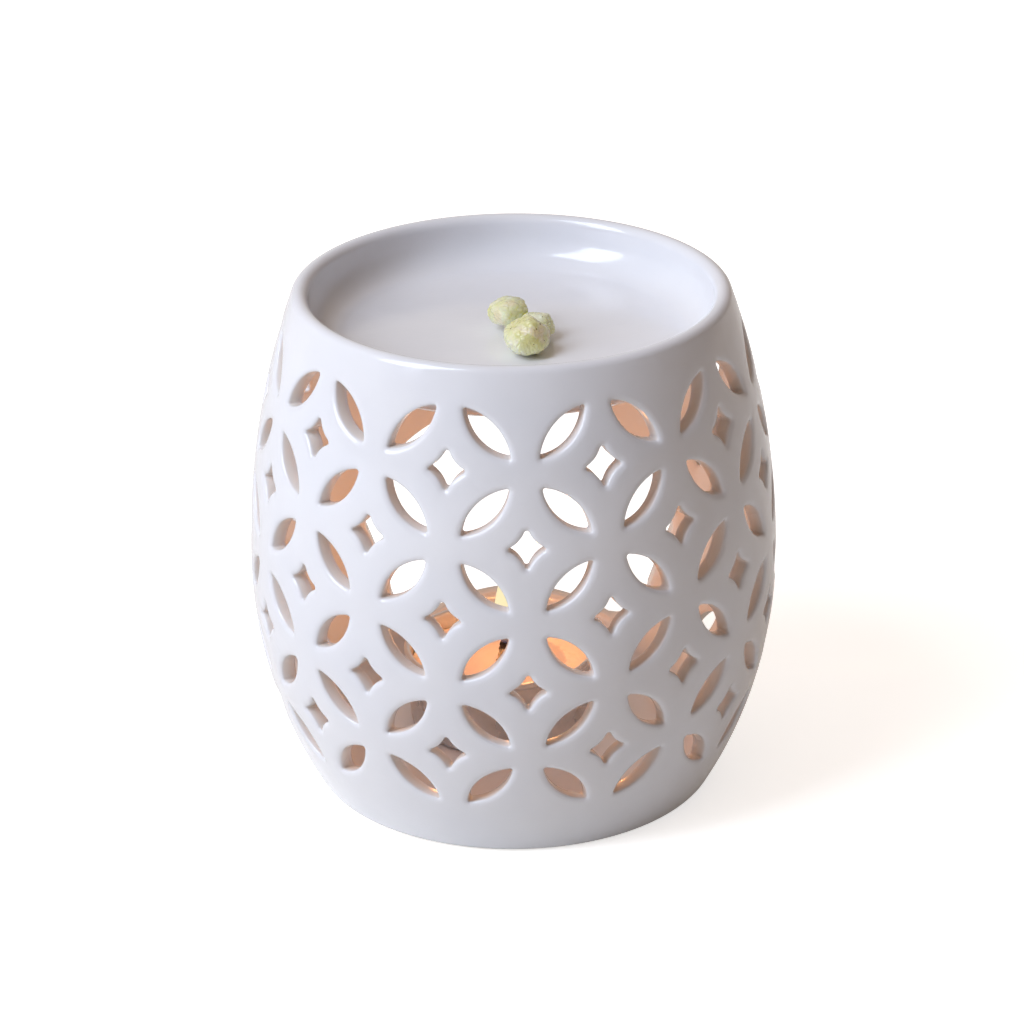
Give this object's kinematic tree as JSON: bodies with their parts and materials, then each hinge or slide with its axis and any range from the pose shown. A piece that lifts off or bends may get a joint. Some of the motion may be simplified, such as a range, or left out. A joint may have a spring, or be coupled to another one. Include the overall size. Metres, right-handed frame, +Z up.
{
  "type": "porcelain oil burner",
  "caption": "Barrel-shaped white porcelain oil burner with a pierced petal-and-star lattice, an oil dish in its top, a wide rear opening, a tea light inside and resin tears in the dish.",
  "frame": {"origin": "centre of the foot, on the surface that the burner stands on", "axes": "+Z up, +Y out of the rear opening, so the front of the lattice faces -Y"},
  "size_m": [0.104, 0.1035, 0.1024],
  "materials": {
    "porcelain": "white gloss glaze",
    "aluminium": "thin pressed foil, satin",
    "wax": "white candle wax, softened round the wick",
    "tab_steel": "bare stamped steel",
    "wick": "braided cotton, charred at the tip",
    "resin": "dusty translucent resin"
  },
  "bodies": {
    "burner": {"burner_body": "porcelain"},
    "tealight": {"tealight_cup": "aluminium", "tealight_wax": "wax", "wick_tab": "tab_steel", "tealight_wick": "wick"},
    "resin": {"resin_tear_back": "resin", "resin_tear_front": "resin", "resin_tear_small": "resin"}
  },
  "joints": [
    {"name": "tealight_draw", "type": "slide", "parent": "burner", "child": "tealight", "axis": [0.1114, 0.8774, 0.4666], "range_m": [0, 0.085]},
    {"name": "resin_lift", "type": "slide", "parent": "burner", "child": "resin", "axis": [0, 0, 1], "range_m": [0, 0.06]}
  ]
}
